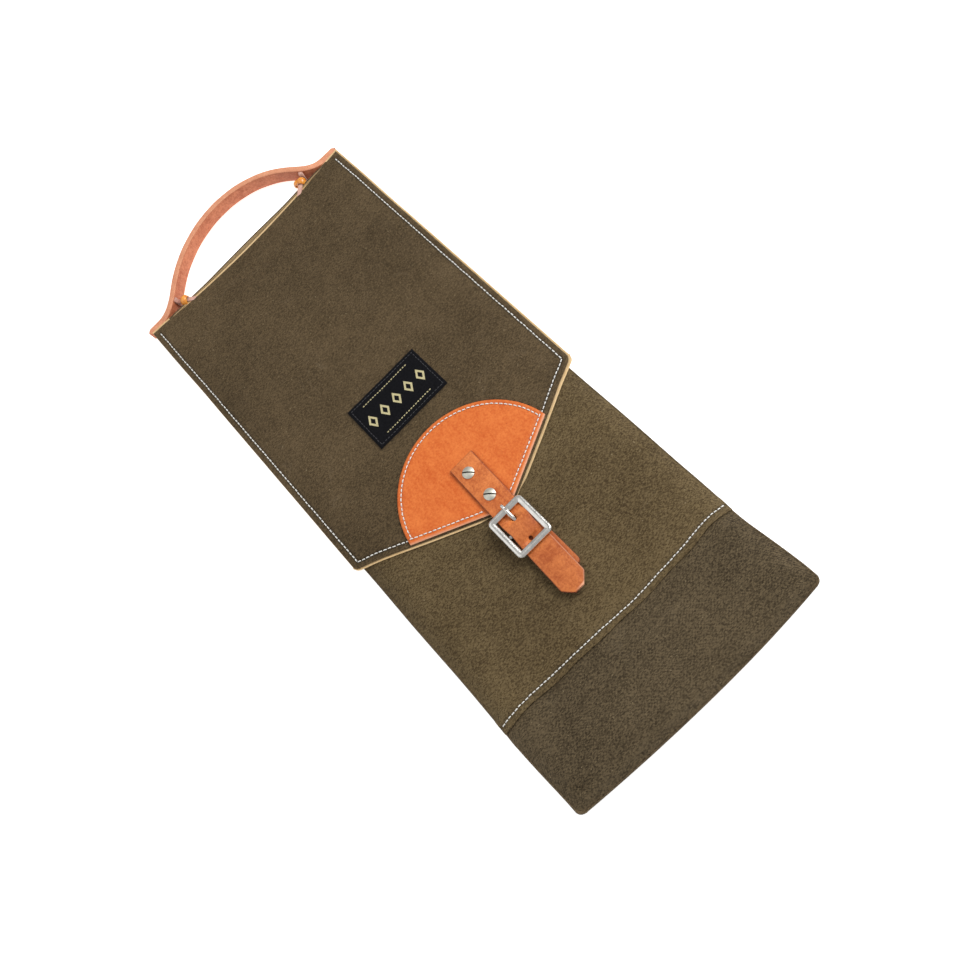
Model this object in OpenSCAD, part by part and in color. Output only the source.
// Flat waxed-canvas tool case with a pointed flap, a buckled closure strap and a carry handle.
// X runs across the case, +Y points to the handle end, +Z is up; the back lies on z = 0.

/* [Case] */
// Length of the case from the handle end to the bottom seam
case_len = 475; // [380:1:570]
// Width of the pouch
case_w = 186; // [150:1:230]
// Thickness of the closed pouch, flap not counted
case_t = 10; // [9:0.5:16]
// Thickness of one ply of waxed canvas
canvas_t = 1.2; // [0.8:0.1:1.5]
// Thickness of one ply of lining
lining_t = 0.6; // [0.4:0.1:0.9]
// Radius of the two bottom corners
corner_r = 6.5; // [4:0.5:14]
// Height of the straight side seam before the front slopes inward
seam_h = 3.6; // [3.2:0.1:4.5]
// Width of the sloping margin round the front
slope_w = 14; // [10:1:22]
// Distance from the handle end to the mouth of the pouch
mouth_d = 55; // [40:1:75]
// Height of the lower front panel, from the bottom up to the stitched lap
base_h = 71; // [50:1:90]
// Overlap of the upper front panel on the lower one
lap_w = 10; // [6:1:14]

/* [Inner pocket] */
// Width of the patch pocket on the back lining
pocket_w = 150; // [110:1:160]
// Height of the patch pocket
pocket_h = 220; // [160:1:300]
// Distance from the bottom seam to the foot of the patch pocket
pocket_foot = 20; // [18:1:40]
// Thickness of the pocket ply
pocket_t = 0.8; // [0.5:0.1:1]

/* [Handle end] */
// Height of the turned-up back at the two sewn corners
corner_lip_h = 10; // [7:0.5:10]
// Height of the turned-up back along the slit
slit_lip_h = 3; // [2.5:0.5:4]
// Length of each sewn corner
corner_sewn = 14; // [10:1:18]

/* [Flap] */
// Width of the flap
flap_w = 196; // [160:1:240]
// Length of the flap's straight sides
flap_side = 265; // [200:1:300]
// Length of the point beyond the sides, to where its edges would meet
flap_point = 47.5; // [40:0.5:70]
// How far the tip is cut back under the strap
tip_cut = 3.3; // [1:0.1:8]
// Radius of the two side corners
flap_corner_r = 5; // [2:0.5:10]
// Air between the closed flap and the pouch
flap_air = 0.3; // [0.2:0.1:1]

/* [Leather patch and label] */
// Radius of the patch's round edge
patch_r = 60; // [45:1:70]
// Sideways place of the patch's round edge
patch_x = -2; // [-6:0.5:6]
// How far the patch's round edge rises above the flap's side corners
patch_rise = 34.1; // [15:0.1:45]
// Thickness of the patch leather
patch_t = 1.8; // [1.2:0.1:2.2]
// How far the patch stays inside the flap's pointed edges
patch_inset = 1; // [0.5:0.5:4]
// Width of the woven label
label_w = 62; // [40:1:80]
// Height of the woven label
label_h = 39; // [25:1:50]
// Thickness of the label
label_t = 0.7; // [0.4:0.1:1]
// Gap between the label and the top of the patch
label_gap = 14.4; // [4:0.1:60]
// Sideways place of the label
label_x = -1.5; // [-10:0.5:10]

/* [Closure strap] */
// Width of the closure strap
strap_w = 19; // [16:0.5:25]
// Thickness of the strap
strap_t = 2.4; // [1.8:0.1:2.4]
// Sideways place of the strap and buckle
strap_x = -3; // [-8:0.5:8]
// Length of the strap from its square end to the buckle's centre bar
strap_head = 60.2; // [58:0.2:66]
// Distance from the square end to the first screw
screw_gap = 10; // [8:0.5:12]
// Distance between the two screws
screw_pitch = 21; // [14:0.5:22]
// Length of the strap's tail beyond the centre bar
strap_tail = 53.8; // [48:0.2:70]
// Length of the blunt point of the tail
tail_point = 6; // [3:0.5:12]
// Diameter of the screw heads and post flanges
head_d = 8.2; // [7:0.1:10]
// Height of the screw heads
head_h = 1.5; // [1:0.1:2]
// Diameter of the screw posts
post_d = 5; // [4.5:0.1:6]
// Diameter of the screw shanks
shank_d = 3.2; // [2.5:0.1:3.5]
// Radial clearance of a post in its hole and of a shank in its post
screw_clear = 0.1; // [0.05:0.05:0.2]
// Width of the screwdriver slot
slot_w = 0.9; // [0.6:0.1:1.2]
// Depth of the screwdriver slot
slot_depth = 0.7; // [0.4:0.1:0.9]
// Turn of the slots from straight across the strap
slot_turn = 45; // [0:5:90]
// Length of the strap hole for the prong
hole_len = 7.9; // [7.2:0.1:10]
// Distance from the centre bar to the near end of that hole
hole_start = 0.2; // [0:0.1:0.4]
// Distance from that hole to the next one
hole_pitch = 13; // [10:0.5:20]
// Width of the strap holes
hole_w = 3.4; // [3:0.1:5]

/* [Buckle] */
// Length of the buckle frame along the strap
buckle_len = 32; // [26:0.5:36]
// Width of the frame's bars
bar_w = 3.8; // [3:0.1:5]
// Thickness of the frame
bar_t = 2.8; // [2:0.1:4]
// Clearance of the strap on each side of the window
strap_side_air = 0.4; // [0.3:0.1:1]
// Outer corner radius of the frame
frame_r = 3.1; // [2:0.1:6]
// Gap between the flap's cut tip and the buckle's front bar
tip_gap = 1; // [0.6:0.1:3]
// Diameter of the centre bar
pin_d = 3; // [2.5:0.1:3.5]
// Radial clearance of the prong's eye on the centre bar
pin_clear = 0.05; // [0.02:0.01:0.1]
// Wall of the prong's eye
eye_wall = 1.2; // [0.8:0.1:1.4]
// Diameter of the prong
prong_d = 2.4; // [2:0.1:2.8]
// Thickness of the chape leather
chape_t = 1.6; // [1.2:0.1:2]
// Radial clearance of the chape round the centre bar
chape_clear = 0.15; // [0.1:0.05:0.3]
// Width of the slot in the chape for the prong
chape_slot = 6.4; // [5:0.1:8]
// Distance from the centre bar to the chape's sewn end
chape_len = 42; // [30:1:45]

/* [Handle] */
// How far the handle reaches beyond the case
handle_reach = 47; // [35:1:60]
// Thickness of the handle leather
handle_t = 4.8; // [3:0.1:5.5]
// Width of the handle, which stands on edge
handle_w = 12; // [10:0.5:14]
// Gap under the handle
handle_lift = 1.8; // [1.6:0.1:3]
// Length of each handle end sewn along the case
handle_end_len = 17.2; // [14:0.1:22]
// Slope at which the arch leaves the case
handle_angle = 48; // [40:1:55]
// Radius of the turn between the sewn end and the arch
turn_r = 12; // [8:1:16]
// Height of the sewn ends' top edge
handle_end_top = 10.4; // [8:0.1:10.6]

/* [Laces and beads] */
// Width of the flat leather lace
lace_w = 3.6; // [3:0.1:4.5]
// Thickness of the lace
lace_t = 1.4; // [1:0.1:1.5]
// Distance of each lace from the middle of the handle
lace_x = 70; // [60:1:72]
// Length of the doubled lace, from the handle into the slit
lace_stem = 19; // [16:0.5:24]
// Length of the right lace's free end, from the handle to its end bead
lace_tail = 4; // [4:0.5:10]
// Diameter of the sliding beads
bead_d = 6.8; // [6:0.1:7]
// Length of the sliding beads
bead_len = 4.8; // [4:0.1:6]
// Diameter of the bead's bore
bead_bore = 4.8; // [4.6:0.1:5]
// Diameter of the end bead
end_bead_d = 5.2; // [4.5:0.1:6]

/* [Hidden] */
$fn = 64;
eps = 0.01;
fit = 0.2;
face_air = 0.3;

// The overall box, case and handle together, is centred on the origin.
y_top = (case_len - handle_reach) / 2;
y_bottom = y_top - case_len;
function y_at(d) = y_top - d;
function reversed(list) = [for (i = [len(list) - 1 : -1 : 0]) list[i]];
function mirrored(list) = [for (p = list) [-p[0], p[1]]];

// Layers of the pouch
z_back = canvas_t;
z_lined = z_back + lining_t;
slope = (case_t - seam_h) / slope_w;
slope_len = sqrt(1 + slope * slope);

// Layers of the flap
z_flap = case_t + flap_air;
z_flap_canvas = z_flap + lining_t;
z_flap_top = z_flap_canvas + canvas_t;
z_patch_top = z_flap_top + patch_t;
z_strap_top = z_patch_top + strap_t;
hinge_back = canvas_t + lining_t + fit + (canvas_t + lining_t) / 2;
y_flap = y_top - hinge_back;
tip_d = flap_side + flap_point - tip_cut;
tip_half = tip_cut * (flap_w / 2) / flap_point;
patch_top_d = flap_side - patch_rise;
label_d = patch_top_d - label_gap - label_h / 2;
bar_d = tip_d + tip_gap + buckle_len / 2;
strap_top_d = bar_d - strap_head;
strap_tip_d = bar_d + strap_tail;

// Screws
screw_1_d = strap_top_d + screw_gap;
screw_2_d = screw_1_d + screw_pitch;
flange_t = lining_t - 0.05;

// Buckle: the cranked centre bar lies low in the chape, the rim lies on the strap.
window_w = strap_w + 2 * strap_side_air;
frame_w = window_w + 2 * bar_w;
wrap_r = pin_d / 2 + chape_clear + chape_t;
z_pin = case_t + wrap_r;
z_rim = z_strap_top + face_air;
z_rim_top = z_rim + bar_t;
lug_len = pin_d + 2;
y_pin = y_at(bar_d);
rim_in = buckle_len / 2 - bar_w;
z_hump = z_pin + wrap_r + fit;
z_tail = case_t + 2 * chape_t + face_air;

// Handle
arch_rise = handle_reach - handle_t - fit;
handle_half = flap_w / 2;
arch_x = handle_half - handle_end_len;
sa = sin(handle_angle);
ca = 1 - cos(handle_angle);
ta = tan(handle_angle);
arch_r = (arch_x - (arch_rise - turn_r * ca) / ta - turn_r * sa) / (sa - ca / ta);
y_sewn = y_top + fit + handle_t / 2;
handle_z = handle_lift + handle_w / 2;
handle_top = handle_lift + handle_w;
split_x = arch_x - 2;
taper_len = 4;

// Laces
lace_y = y_sewn + arch_rise - arch_r * ca - (lace_x - arch_r * sa) * ta;
ring_in = handle_t / 2 + fit;
ring_out = ring_in + lace_t;
bead_at = ring_out + 0.6 + bead_len / 2;

// Rounded outline of the pouch seen from above, moved inward by off; it runs straight off at y_end.
module pouch_outline(off, y_end) {
  w = case_w / 2 - off;
  r = max(corner_r - off, 0.5);
  y0 = y_bottom + off;
  translate([-w + r, y0])
    square([2 * (w - r), y_end - y0]);
  translate([-w, y0 + r])
    square([2 * w, y_end - y0 - r]);
  for (s = [-1, 1])
    translate([s * (w - r), y0 + r])
      circle(r = r);
}

// Section across the front, half-width w at the seam, moved inward by off.
function rise_to(off) = (case_t - seam_h + off * (slope_len - 1)) / slope;
function knee(off) = seam_h + off * slope - off * slope_len;

// Solid under the pouch front, moved inward by off, from z0 up, between y_bottom and y_end.
module pillow(off, z0, y_end) {
  w = case_w / 2;
  intersection() {
    translate([0, y_end, 0])
      rotate([90, 0, 0])
        linear_extrude(height = y_end - y_bottom - off)
          polygon([
            [-w + off, z0], [-w + off, knee(off)], [-w + rise_to(off), case_t - off],
            [w - rise_to(off), case_t - off], [w - off, knee(off)], [w - off, z0]
          ]);
    rotate([90, 0, 90])
      linear_extrude(height = case_w + 4 * canvas_t, center = true)
        polygon([
          [y_bottom + off, z0], [y_bottom + off, knee(off)],
          [y_bottom + rise_to(off), case_t - off], [y_end, case_t - off], [y_end, z0]
        ]);
    linear_extrude(height = case_t + 2 * canvas_t)
      pouch_outline(off, y_end);
  }
}

// One ply of the front between two offsets, cut to the band from y0 to y1.
module front_ply(off, t, z0, y0, y1) {
  intersection() {
    difference() {
      pillow(off, z0, y1);
      pillow(off + t, z0 - 1, y1 + 1);
    }
    translate([-case_w, y0, 0])
      cube([2 * case_w, y1 - y0, 2 * case_t]);
  }
}

// Outline of the back: pouch width, widening to the flap's width above the pouch mouth.
module back_outline(off) {
  wide = flap_w / 2 - off;
  pouch_outline(off, y_at(mouth_d) + eps);
  polygon([
    [-case_w / 2 + off, y_at(mouth_d)], [case_w / 2 - off, y_at(mouth_d)],
    [wide, y_at(mouth_d) + 12], [wide, y_top - off], [-wide, y_top - off], [-wide, y_at(mouth_d) + 12]
  ]);
}

// Turned-up lip of one back ply: tall at the sewn corners, low along the slit.
module lip(off, t, z0) {
  wide = flap_w / 2 - off;
  y0 = y_top - off - t;
  translate([-wide, y0, z0 - eps])
    cube([2 * wide, t, slit_lip_h - z0 + eps]);
  for (s = [-1, 1])
    translate([s > 0 ? wide - corner_sewn : -wide, y0, z0 - eps])
      cube([corner_sewn, t, corner_lip_h - z0 + eps]);
}

module back_panel() {
  color([0.35, 0.29, 0.21]) {
    linear_extrude(height = canvas_t)
      back_outline(0);
    lip(0, canvas_t, canvas_t);
  }
}

module back_lining() {
  color([0.86, 0.72, 0.52]) {
    translate([0, 0, z_back])
      linear_extrude(height = lining_t)
        back_outline(canvas_t);
    lip(canvas_t, lining_t, z_lined);
  }
}

module inner_pocket() {
  color([0.8, 0.66, 0.46])
    translate([-pocket_w / 2, y_bottom + pocket_foot, z_lined])
      cube([pocket_w, pocket_h, pocket_t]);
}

module front_upper_panel() {
  y_lap = y_bottom + base_h - lap_w / 2;
  color([0.37, 0.31, 0.22]) {
    front_ply(0, canvas_t, z_back, y_lap + lap_w - eps, y_at(mouth_d));
    front_ply(-canvas_t, canvas_t, z_back, y_lap, y_lap + lap_w + 2 * canvas_t);
  }
}

module front_base_panel() {
  y_lap = y_bottom + base_h - lap_w / 2;
  color([0.35, 0.3, 0.22])
    front_ply(0, canvas_t, z_back, y_bottom - 1, y_lap + lap_w - 2 * eps);
}

module front_lining() {
  color([0.86, 0.72, 0.52])
    front_ply(canvas_t, lining_t, z_lined, y_bottom - 1, y_at(mouth_d));
}

// Pointed outline of the flap; inset moves the pointed edges inward.
module flap_outline(inset) {
  w = flap_w / 2;
  back = inset * sqrt(pow(flap_point, 2) + pow(w, 2)) / w;
  y_side = y_at(flap_side - back);
  y_tip = y_at(tip_d - inset);
  half_tip = (flap_side + flap_point - back - tip_d + inset) * w / flap_point;
  polygon([
    [-w, y_flap], [w, y_flap], [w, y_side], [half_tip, y_tip], [-half_tip, y_tip], [-w, y_side]
  ]);
}

// Right side corner of the flap as an arc from the straight side to the pointed edge.
function side_corner(w, turn) =
  let (k = flap_corner_r * tan(turn / 2), steps = 8)
  [for (i = [0 : steps])
    let (t = turn * i / steps)
    [w - flap_corner_r * (1 - cos(t)), y_at(flap_side) + k - flap_corner_r * sin(t)]];

// The flap's outline with its two side corners rounded.
module flap_shape() {
  w = flap_w / 2;
  right = concat([[w, y_flap]], side_corner(w, atan2(w, flap_point)), [[tip_half, y_at(tip_d)]]);
  polygon(concat(right, reversed(mirrored(right))));
}

module screw_places() {
  for (d = [screw_1_d, screw_2_d])
    translate([strap_x, y_at(d), 0])
      children();
}

module flap_canvas() {
  color([0.345, 0.287, 0.208])
    difference() {
      translate([0, 0, z_flap_canvas])
        linear_extrude(height = canvas_t)
          flap_shape();
      screw_places()
        cylinder(d = post_d + 2 * screw_clear, h = 3 * case_t);
    }
}

module flap_lining() {
  color([0.9, 0.76, 0.55])
    difference() {
      translate([0, 0, z_flap])
        linear_extrude(height = lining_t)
          flap_shape();
      screw_places()
        cylinder(d = head_d + 2 * screw_clear, h = 3 * case_t);
    }
}

module flap_patch() {
  color([0.88, 0.46, 0.23])
    difference() {
      translate([0, 0, z_flap_top])
        linear_extrude(height = patch_t)
          intersection() {
            flap_outline(patch_inset);
            translate([patch_x, y_at(patch_top_d + patch_r)])
              circle(r = patch_r);
          }
      screw_places()
        cylinder(d = post_d + 2 * screw_clear, h = 3 * case_t);
    }
}

module woven_label() {
  color([0.11, 0.12, 0.13])
    translate([label_x - label_w / 2, y_at(label_d) - label_h / 2, z_flap_top])
      cube([label_w, label_h, label_t]);
}

// Side profile of the strap: flat on the patch, over the chape's hump, flat on the tail; then cut to width.
module closure_strap() {
  y_a = y_at(strap_top_d);
  y_b = y_pin + rim_in - 1;
  y_c = y_pin + pin_d;
  y_d = y_pin - pin_d;
  y_e = y_pin - rim_in + 1;
  y_f = y_at(strap_tip_d);
  z_a = z_patch_top;
  color([0.78, 0.42, 0.22])
    difference() {
      intersection() {
        translate([strap_x, 0, 0])
          rotate([90, 0, 90])
            linear_extrude(height = strap_w, center = true)
              polygon([
                [y_a, z_a], [y_b, z_a], [y_c, z_hump], [y_d, z_hump], [y_e, z_tail], [y_f, z_tail],
                [y_f, z_tail + strap_t], [y_e - 0.6, z_tail + strap_t], [y_d - 0.6, z_hump + strap_t],
                [y_c + 0.6, z_hump + strap_t], [y_b + 0.6, z_a + strap_t], [y_a, z_a + strap_t]
              ]);
        linear_extrude(height = 4 * case_t)
          polygon([
            [strap_x - strap_w, y_a + 1], [strap_x + strap_w, y_a + 1],
            [strap_x + strap_w, y_f + tail_point], [strap_x + strap_w / 2, y_f + tail_point],
            [strap_x + strap_w / 6, y_f], [strap_x - strap_w / 6, y_f],
            [strap_x - strap_w / 2, y_f + tail_point], [strap_x - strap_w, y_f + tail_point]
          ]);
      }
      screw_places()
        cylinder(d = post_d + 2 * screw_clear, h = 4 * case_t);
      translate([strap_x, y_pin + hole_start + hole_len / 2, 0])
        strap_hole();
      translate([strap_x, y_pin + hole_start + hole_len / 2 - hole_pitch, 0])
        cylinder(d = hole_w, h = 4 * case_t);
    }
}

// Long hole for the prong.
module strap_hole() {
  linear_extrude(height = 4 * case_t)
    union() {
      square([hole_w, hole_len - hole_w], center = true);
      for (s = [-1, 1])
        translate([0, s * (hole_len - hole_w) / 2])
          circle(d = hole_w);
    }
}

module strap_post(d) {
  color([0.74, 0.74, 0.7])
    translate([strap_x, y_at(d), z_flap])
      difference() {
        union() {
          cylinder(d = head_d, h = flange_t);
          cylinder(d = post_d, h = z_strap_top - z_flap - fit);
        }
        translate([0, 0, flange_t])
          cylinder(d = shank_d + 2 * screw_clear, h = z_strap_top);
      }
}

module strap_screw(d) {
  shank_h = z_strap_top - z_flap - flange_t - fit;
  color([0.76, 0.76, 0.72])
    translate([strap_x, y_at(d), z_strap_top]) {
      difference() {
        intersection() {
          cylinder(d = head_d, h = head_h);
          translate([0, 0, head_h - head_d])
            sphere(r = head_d);
        }
        rotate([0, 0, -slot_turn])
          translate([-head_d, -slot_w / 2, head_h - slot_depth])
            cube([2 * head_d, slot_w, head_h]);
      }
      translate([0, 0, -shank_h])
        cylinder(d = shank_d, h = shank_h + eps);
    }
}

module rounded_box_2d(w, l, r) {
  square([w - 2 * r, l], center = true);
  square([w, l - 2 * r], center = true);
  for (sx = [-1, 1])
    for (sy = [-1, 1])
      translate([sx * (w / 2 - r), sy * (l / 2 - r)])
        circle(r = r);
}

module buckle_frame() {
  z_lug = z_pin - lug_len / 2 + 0.6;
  color([0.75, 0.75, 0.71])
    difference() {
      union() {
        translate([strap_x, y_pin, z_rim])
          linear_extrude(height = bar_t)
            difference() {
              rounded_box_2d(frame_w, buckle_len, frame_r);
              rounded_box_2d(window_w, buckle_len - 2 * bar_w, 1);
            }
        for (s = [-1, 1])
          translate([strap_x + s * (frame_w - bar_w) / 2, y_pin, 0])
            translate([-bar_w / 2, -lug_len / 2, z_lug])
              cube([bar_w, lug_len, z_rim + bar_t / 2 - z_lug]);
      }
      translate([strap_x, y_pin, z_pin])
        rotate([0, 90, 0])
          cylinder(d = pin_d, h = frame_w + 2, center = true);
    }
}

module buckle_bar() {
  color([0.72, 0.72, 0.68])
    translate([strap_x, y_pin, z_pin])
      rotate([0, 90, 0])
        cylinder(d = pin_d, h = frame_w - 1, center = true);
}

// Prong: an eye round the centre bar and a shaft that rises to lie over the front bar.
module buckle_prong() {
  eye_r = pin_d / 2 + pin_clear;
  eye_out = eye_r + eye_wall;
  z_root = eye_out - prong_d / 2;
  y_tip = buckle_len / 2 + 1;
  y_bend = rim_in - prong_d / 2;
  z_on_rim = z_rim_top + fit + prong_d / 2 - z_pin;
  lift = atan2(z_on_rim - z_root, y_bend);
  color([0.78, 0.78, 0.74])
    translate([strap_x, y_pin, z_pin])
      difference() {
        union() {
          rotate([0, 90, 0])
            cylinder(r = eye_out, h = prong_d + 0.8, center = true);
          translate([0, 0, z_root])
            rotate([lift - 90, 0, 0])
              cylinder(d = prong_d, h = y_bend / cos(lift));
          translate([0, y_bend, z_on_rim]) {
            sphere(d = prong_d + 0.1);
            rotate([-90, 0, 0])
              cylinder(d = prong_d, h = y_tip - y_bend);
          }
          translate([0, y_tip, z_on_rim])
            sphere(d = prong_d - 0.1);
        }
        rotate([0, 90, 0])
          cylinder(r = eye_r, h = strap_w, center = true);
      }
}

// Chape: the lower leg lies on the front, wraps the centre bar and comes back on top of itself.
module buckle_chape() {
  y_end = y_pin - chape_len;
  z_top = z_pin + wrap_r;
  z_legs = case_t + 2 * chape_t;
  y_down = y_pin - 2 * wrap_r - 4;
  chape_w = strap_w - 2 * face_air;
  color([0.72, 0.37, 0.2])
    translate([strap_x, 0, 0])
      difference() {
        union() {
          translate([0, y_pin, z_pin])
            rotate([0, 90, 0])
              cylinder(r = wrap_r, h = chape_w, center = true);
          rotate([90, 0, 90])
            linear_extrude(height = chape_w, center = true)
              polygon([
                [y_pin, case_t], [y_end, case_t], [y_end, z_legs],
                [y_down, z_legs], [y_pin - 2, z_top], [y_pin, z_top]
              ]);
        }
        translate([0, y_pin, z_pin])
          rotate([0, 90, 0])
            cylinder(r = wrap_r - chape_t, h = strap_w, center = true);
        translate([-chape_slot / 2, y_pin - wrap_r - 3, case_t - 1])
          cube([chape_slot, 2 * wrap_r + 6, 2 * wrap_r + 4]);
      }
}

// Right half of the handle's middle line, from the crown to the sewn end.
function crown_point(a) = [arch_r * sin(a), y_sewn + arch_rise - arch_r * (1 - cos(a))];
function turn_point(a) = [arch_x - turn_r * sin(a), y_sewn + turn_r * (1 - cos(a))];
function beside(p, a, s) = [p[0] + s * sin(a) * handle_t / 2, p[1] + s * cos(a) * handle_t / 2];
steps = 12;
function half_side(s) = concat(
  [for (i = [0 : steps]) beside(crown_point(handle_angle * i / steps), handle_angle * i / steps, s)],
  [for (i = [0 : steps / 2]) let (a = handle_angle * (1 - i / (steps / 2))) beside(turn_point(a), a, s)],
  [[handle_half, y_sewn + s * handle_t / 2]]
);
module handle_outline() {
  outer = half_side(1);
  inner = half_side(-1);
  polygon(concat(reversed(mirrored(outer)), outer, reversed(inner), mirrored(inner)));
}

// The handle between x0 and x1: full width on the arch, lower along the sewn ends.
module handle_solid(x0, x1) {
  intersection() {
    translate([0, 0, handle_lift])
      linear_extrude(height = handle_w)
        intersection() {
          handle_outline();
          translate([x0, y_top - 1])
            square([x1 - x0, 2 * handle_reach]);
        }
    translate([0, y_top + 2 * handle_reach, 0])
      rotate([90, 0, 0])
        linear_extrude(height = 3 * handle_reach)
          polygon([
            [-handle_half - 1, 0], [handle_half + 1, 0], [handle_half + 1, handle_end_top],
            [arch_x, handle_end_top], [arch_x - taper_len, handle_top], [taper_len - arch_x, handle_top],
            [-arch_x, handle_end_top], [-handle_half - 1, handle_end_top]
          ]);
  }
}

module handle_strap() {
  color([0.79, 0.47, 0.36])
    handle_solid(face_air - split_x, split_x - face_air);
}

module handle_end(side) {
  color([0.79, 0.47, 0.36])
    mirror([side < 0 ? 1 : 0, 0, 0])
      handle_solid(split_x, handle_half);
}

// Places a lace's parts: local +X points from the handle towards the slit, along the handle's inner normal.
module at_lace(side) {
  mirror([side < 0 ? 1 : 0, 0, 0])
    translate([lace_x, lace_y, handle_z])
      rotate([0, 0, 180 + 90 - handle_angle])
        children();
}

module lace(side) {
  h = handle_w + 2 * fit;
  ring_z = h / 2 + lace_t;
  color([0.72, 0.55, 0.5])
    at_lace(side) {
      difference() {
        translate([-ring_out, -lace_w / 2, -ring_z])
          cube([2 * ring_out, lace_w, 2 * ring_z]);
        translate([-ring_in, -lace_w, -h / 2])
          cube([2 * ring_in, 2 * lace_w, h]);
      }
      translate([ring_out - eps, -lace_w / 2, -lace_t])
        cube([lace_stem, lace_w, 2 * lace_t]);
      if (side > 0)
        translate([ring_out - lace_t, 0, -ring_z])
          rotate([0, 0, -60])
            translate([0, -lace_w / 2, 0])
              cube([lace_tail, lace_w, lace_t]);
    }
}

module bead(side) {
  color([0.94, 0.58, 0.2])
    at_lace(side)
      translate([bead_at, 0, 0])
        rotate([0, 90, 0])
          rotate_extrude()
            difference() {
              intersection() {
                translate([0, -bead_len / 2])
                  square([bead_d / 2, bead_len]);
                translate([bead_d / 2 - 1.6 * bead_len, 0])
                  circle(r = 1.6 * bead_len);
              }
              translate([-1, -bead_len])
                square([1 + bead_bore / 2, 2 * bead_len]);
            }
}

module lace_end_bead() {
  color([0.94, 0.58, 0.2])
    at_lace(1)
      translate([ring_out - lace_t, 0, end_bead_d / 2 - handle_z + 0.3])
        rotate([0, 0, -60])
          translate([lace_tail + end_bead_d / 2 + fit, 0, 0])
            sphere(d = end_bead_d);
}

back_panel();
back_lining();
inner_pocket();
front_upper_panel();
front_base_panel();
front_lining();
buckle_chape();
handle_end(-1);  // handle_end_left
handle_end(1);  // handle_end_right
flap_canvas();
flap_lining();
flap_patch();
woven_label();
closure_strap();
strap_post(screw_1_d);  // strap_post_upper
strap_post(screw_2_d);  // strap_post_lower
strap_screw(screw_1_d);  // strap_screw_upper
strap_screw(screw_2_d);  // strap_screw_lower
buckle_frame();
buckle_bar();
buckle_prong();
handle_strap();
lace(-1);  // lace_left
lace(1);  // lace_right
bead(-1);  // bead_left
bead(1);  // bead_right
lace_end_bead();
